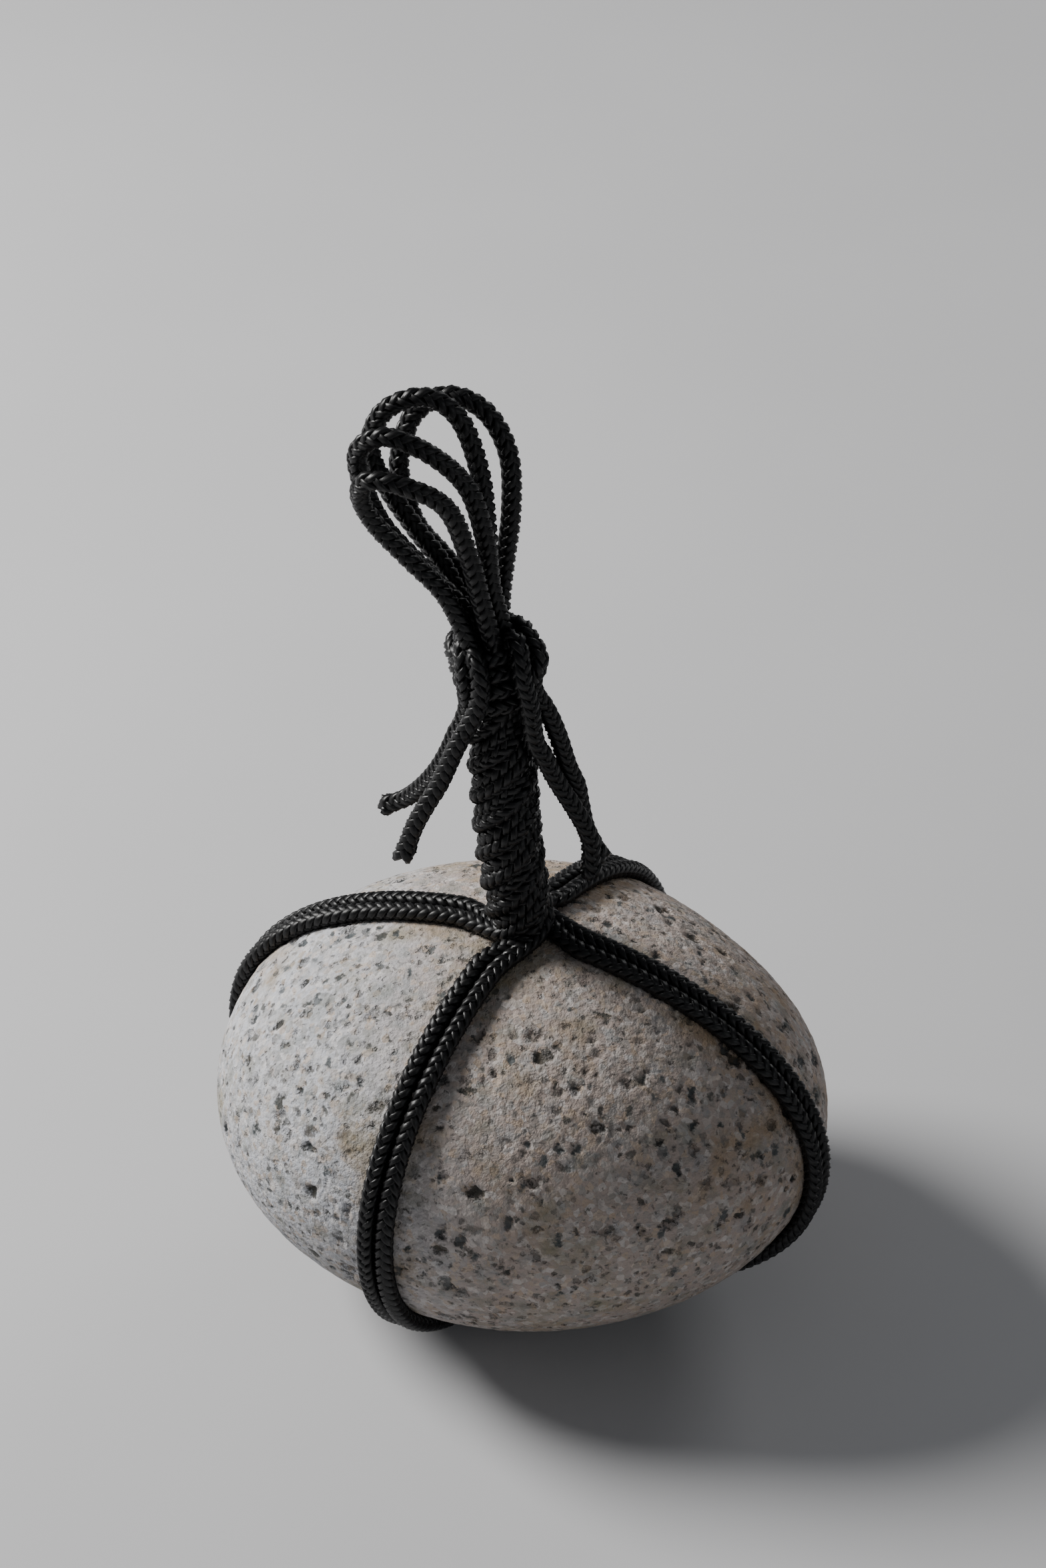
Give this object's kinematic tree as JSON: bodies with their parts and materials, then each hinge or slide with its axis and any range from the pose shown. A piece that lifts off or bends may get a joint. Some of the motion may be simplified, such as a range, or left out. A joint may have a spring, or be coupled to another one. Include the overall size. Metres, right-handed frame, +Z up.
{
  "type": "sekimori stone",
  "caption": "Rounded granite cobble bound crosswise with doubled black cord that is twisted into an upright handle and tied off below standing loops.",
  "frame": {"origin": "on the surface that the stone stands on, at the lower girth cord in the middle of the crossing under the stone", "axes": "+Z is up, towards the loops; +X is to the right and +Y to the back, as the reference picture shows the object"},
  "size_m": [0.1113, 0.0922, 0.1859],
  "materials": {
    "granite": "water-worn pale granite, matt, with dark specks, small pits and faint ochre stains",
    "cord": "black round braid, slightly glossy"
  },
  "bodies": {
    "root": {"stone": "granite", "girth_cord_side_1": "cord", "girth_cord_side_2": "cord", "girth_cord_cross_1": "cord", "girth_cord_cross_2": "cord", "handle": "cord", "knot": "cord", "tail_left_1": "cord", "tail_left_2": "cord", "tail_right_1": "cord", "tail_right_2": "cord", "loop_1": "cord", "loop_2": "cord", "loop_3": "cord", "loop_4": "cord"}
  },
  "joints": []
}
